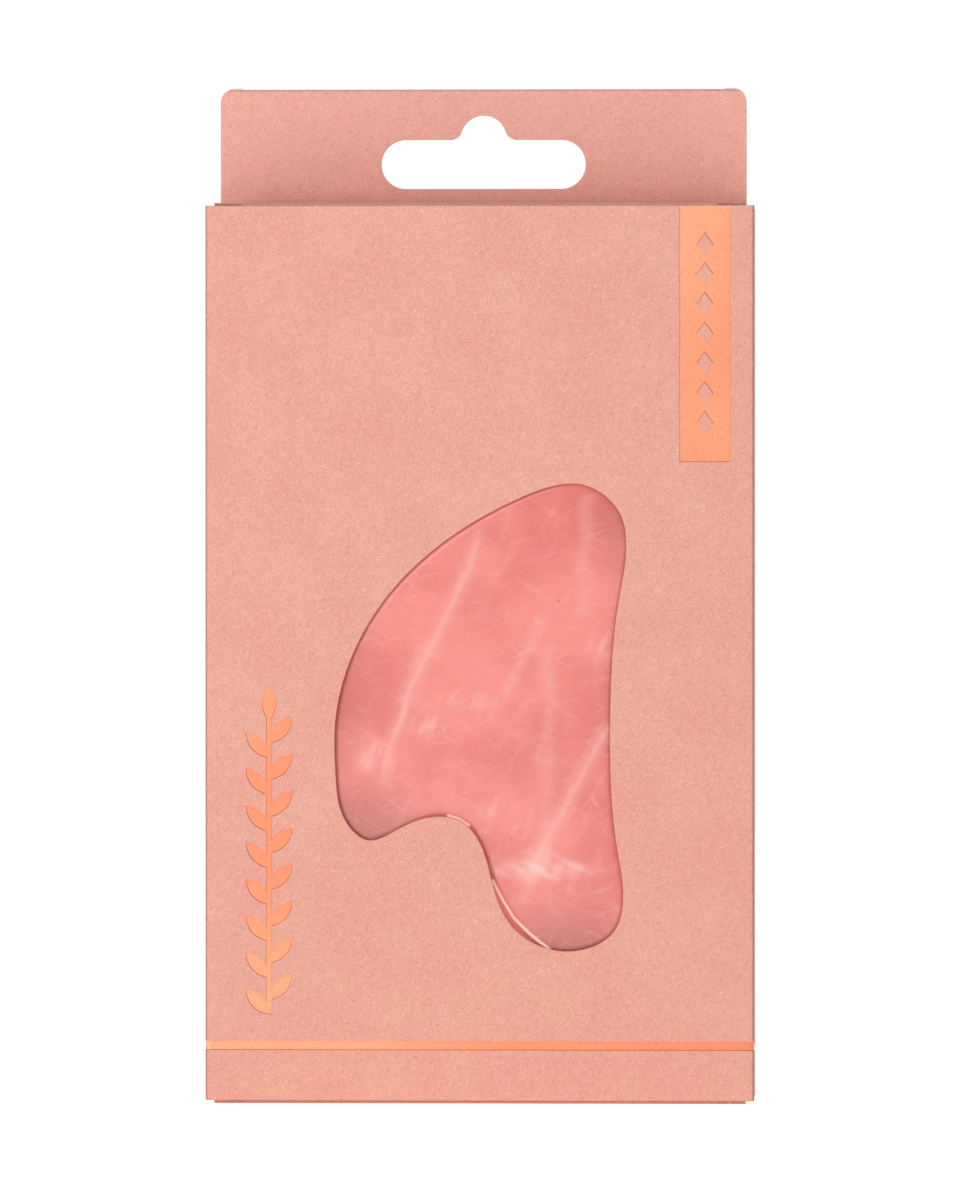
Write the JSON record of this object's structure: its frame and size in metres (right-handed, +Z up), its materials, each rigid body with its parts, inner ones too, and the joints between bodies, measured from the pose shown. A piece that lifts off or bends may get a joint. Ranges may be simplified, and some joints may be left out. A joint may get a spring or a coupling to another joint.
{
  "type": "boxed gua sha scraper",
  "caption": "Heart-lobed rose-quartz gua sha scraper lying in a foam cradle behind the shaped window of a hanging folding carton with tuck-in top and bottom lids.",
  "frame": {"origin": "middle of the closed carton's underside, at the bottom centre of its box", "axes": "+Z up the carton, +X to the right seen from the front, +Y from the window towards the back"},
  "size_m": [0.085, 0.018, 0.158],
  "materials": {
    "printed_board": "satin",
    "insert_board": "matte",
    "foil": "gloss",
    "foam": "matte",
    "rose_quartz": "polished"
  },
  "bodies": {
    "carton": {"front_panel": "printed_board", "left_side_panel": "printed_board", "right_side_panel": "printed_board", "back_panel": "printed_board", "tab_front_ply": "printed_board", "seam_flap": "printed_board", "foil_label": "foil", "foil_band": "foil", "foil_sprig": "foil"},
    "top_lid": {"top_lid": "printed_board"},
    "top_tuck_lip": {"top_tuck_lip": "printed_board"},
    "top_dust_flap_left": {"top_dust_flap_left": "printed_board"},
    "top_dust_flap_right": {"top_dust_flap_right": "printed_board"},
    "bottom_lid": {"bottom_lid": "printed_board"},
    "bottom_tuck_lip": {"bottom_tuck_lip": "printed_board"},
    "bottom_dust_flap_left": {"bottom_dust_flap_left": "printed_board"},
    "bottom_dust_flap_right": {"bottom_dust_flap_right": "printed_board"},
    "insert": {"insert_platform": "insert_board", "insert_wall_left": "insert_board", "insert_wall_right": "insert_board", "insert_ledge_top": "insert_board", "insert_ledge_bottom": "insert_board", "foam_cradle": "foam", "scraper": "rose_quartz"}
  },
  "joints": [
    {"name": "insert_draw", "type": "slide", "parent": "carton", "child": "insert", "axis": [0, 0, 1], "range_m": [0, 0.025]},
    {"name": "top_lid_crease", "type": "hinge", "parent": "carton", "child": "top_lid", "pos_m": [0, 0.008, 0.1395], "axis": [-1, 0, 0], "range_deg": [0, 88]},
    {"name": "top_lip_crease", "type": "hinge", "parent": "top_lid", "child": "top_tuck_lip", "pos_m": [0, -0.00785, 0.139], "axis": [-1, 0, 0], "range_deg": [-30, 21]},
    {"name": "top_dust_flap_left_crease", "type": "hinge", "parent": "carton", "child": "top_dust_flap_left", "pos_m": [-0.0425, 0, 0.13895], "axis": [0, -1, 0], "range_deg": [0, 88]},
    {"name": "top_dust_flap_right_crease", "type": "hinge", "parent": "carton", "child": "top_dust_flap_right", "pos_m": [0.0425, 0, 0.13895], "axis": [0, 1, 0], "range_deg": [0, 88]},
    {"name": "bottom_lid_crease", "type": "hinge", "parent": "carton", "child": "bottom_lid", "pos_m": [0, 0.009, 0], "axis": [1, 0, 0], "range_deg": [0, 110]},
    {"name": "bottom_lip_crease", "type": "hinge", "parent": "bottom_lid", "child": "bottom_tuck_lip", "pos_m": [0, -0.00785, 0.0005], "axis": [1, 0, 0], "range_deg": [-30, 21]},
    {"name": "bottom_dust_flap_left_crease", "type": "hinge", "parent": "carton", "child": "bottom_dust_flap_left", "pos_m": [-0.0425, 0, 0.00055], "axis": [0, 1, 0], "range_deg": [0, 110]},
    {"name": "bottom_dust_flap_right_crease", "type": "hinge", "parent": "carton", "child": "bottom_dust_flap_right", "pos_m": [0.0425, 0, 0.00055], "axis": [0, -1, 0], "range_deg": [0, 110]}
  ],
  "couplings": [
    {"joint": "top_lid_crease", "follows": "insert_draw", "rad_per_m": 61.435},
    {"joint": "top_dust_flap_left_crease", "follows": "insert_draw", "rad_per_m": 61.435},
    {"joint": "top_dust_flap_right_crease", "follows": "insert_draw", "rad_per_m": 61.435},
    {"joint": "bottom_dust_flap_left_crease", "follows": "bottom_lid_crease", "ratio": 1},
    {"joint": "bottom_dust_flap_right_crease", "follows": "bottom_lid_crease", "ratio": 1}
  ]
}
